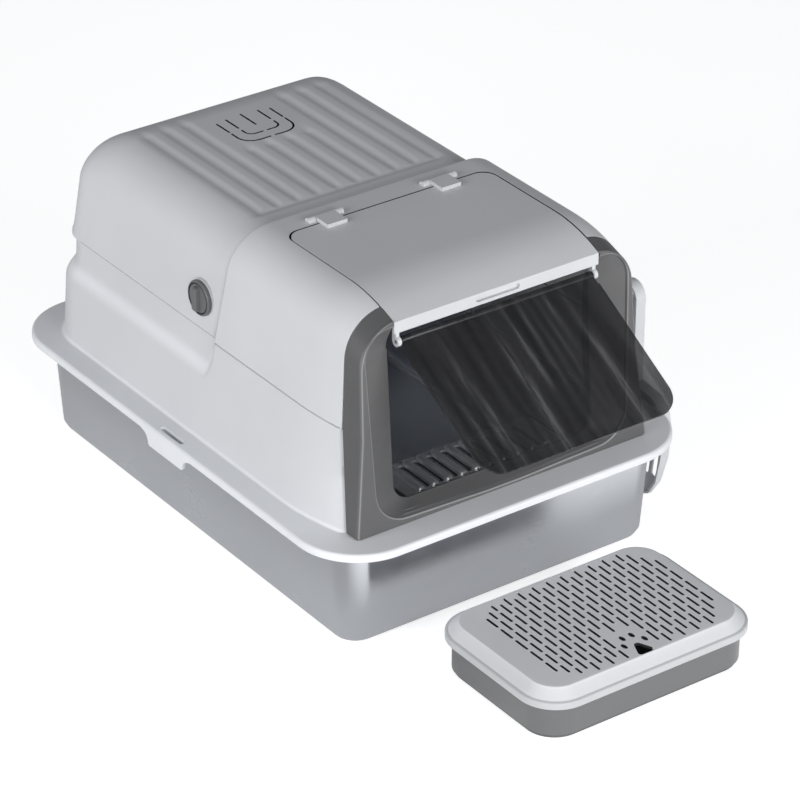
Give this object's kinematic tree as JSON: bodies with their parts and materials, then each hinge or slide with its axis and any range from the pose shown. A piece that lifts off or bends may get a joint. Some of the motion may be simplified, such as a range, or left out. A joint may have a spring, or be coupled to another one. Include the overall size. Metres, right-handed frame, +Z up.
{
  "type": "hooded litter box",
  "caption": "Steel litter pan under a ribbed light grey hood with a flip-up lid, a dark bezel with a smoked swing flap, a hanging scoop and a loose sieve step tray.",
  "frame": {"origin": "centre of the steel pan's flat underside, on the floor", "axes": "+Z up, -Y towards the entrance and the step tray, +X towards the side with the scoop"},
  "size_m": [0.4601, 0.811, 0.3495],
  "materials": {
    "polished_steel": "polished",
    "screw_steel": "satin",
    "light_plastic": "satin moulded",
    "dark_plastic": "satin moulded",
    "knob_plastic": "satin moulded",
    "grey_plastic": "satin moulded",
    "smoked_plastic": "clear smoked",
    "carbon_pad": "felt"
  },
  "bodies": {
    "pan": {"pan": "polished_steel"},
    "frame": {"base_frame": "light_plastic", "scoop_hanger": "light_plastic"},
    "hood": {"upper_hood": "light_plastic", "front_bezel": "dark_plastic", "bezel_screws": "screw_steel", "lid_hinge_pin_left": "screw_steel", "lid_hinge_pin_right": "screw_steel"},
    "lid": {"flip_lid": "light_plastic"},
    "flap": {"swing_flap": "smoked_plastic"},
    "left_knob": {"knob_left": "knob_plastic", "latch_arm_left": "dark_plastic", "knob_screw_left": "screw_steel"},
    "right_knob": {"knob_right": "knob_plastic", "latch_arm_right": "dark_plastic", "knob_screw_right": "screw_steel"},
    "filter": {"filter_tray": "light_plastic", "carbon_filter": "carbon_pad"},
    "grate": {"entrance_grate": "polished_steel"},
    "scoop": {"scoop": "light_plastic"},
    "step": {"step_base": "grey_plastic", "step_foot_ring": "grey_plastic"},
    "sieve": {"step_cover": "light_plastic"}
  },
  "joints": [
    {"name": "frame_lift", "type": "slide", "parent": "pan", "child": "frame", "axis": [0, 0, 1], "range_m": [0, 0.15]},
    {"name": "hood_lift", "type": "slide", "parent": "frame", "child": "hood", "axis": [0, 0, 1], "range_m": [0, 0.2]},
    {"name": "lid_hinge", "type": "hinge", "parent": "hood", "child": "lid", "pos_m": [0, -0.062, 0.3459], "axis": [-1, 0, 0], "range_deg": [0, 105]},
    {"name": "flap_swing", "type": "hinge", "parent": "lid", "child": "flap", "pos_m": [0, -0.2485, 0.308], "axis": [1, 0, 0], "range_deg": [-20, 135]},
    {"name": "left_knob_turn", "type": "hinge", "parent": "hood", "child": "left_knob", "pos_m": [-0.157, 0.014, 0.253], "axis": [1, 0, 0], "range_deg": [0, 90]},
    {"name": "right_knob_turn", "type": "hinge", "parent": "hood", "child": "right_knob", "pos_m": [0.157, 0.014, 0.253], "axis": [1, 0, 0], "range_deg": [0, 90]},
    {"name": "filter_slide", "type": "slide", "parent": "hood", "child": "filter", "axis": [0, -1, 0], "range_m": [0, 0.09]},
    {"name": "grate_lift", "type": "slide", "parent": "hood", "child": "grate", "axis": [0, 0, 1], "range_m": [0, 0.1]},
    {"name": "scoop_lift", "type": "slide", "parent": "frame", "child": "scoop", "axis": [0, 0, 1], "range_m": [0, 0.2]},
    {"name": "step_slide", "type": "slide", "parent": "pan", "child": "step", "axis": [0, -1, 0], "range_m": [0, 0.1]},
    {"name": "step_cover_lift", "type": "slide", "parent": "step", "child": "sieve", "axis": [0, 0, 1], "range_m": [0, 0.06]}
  ]
}
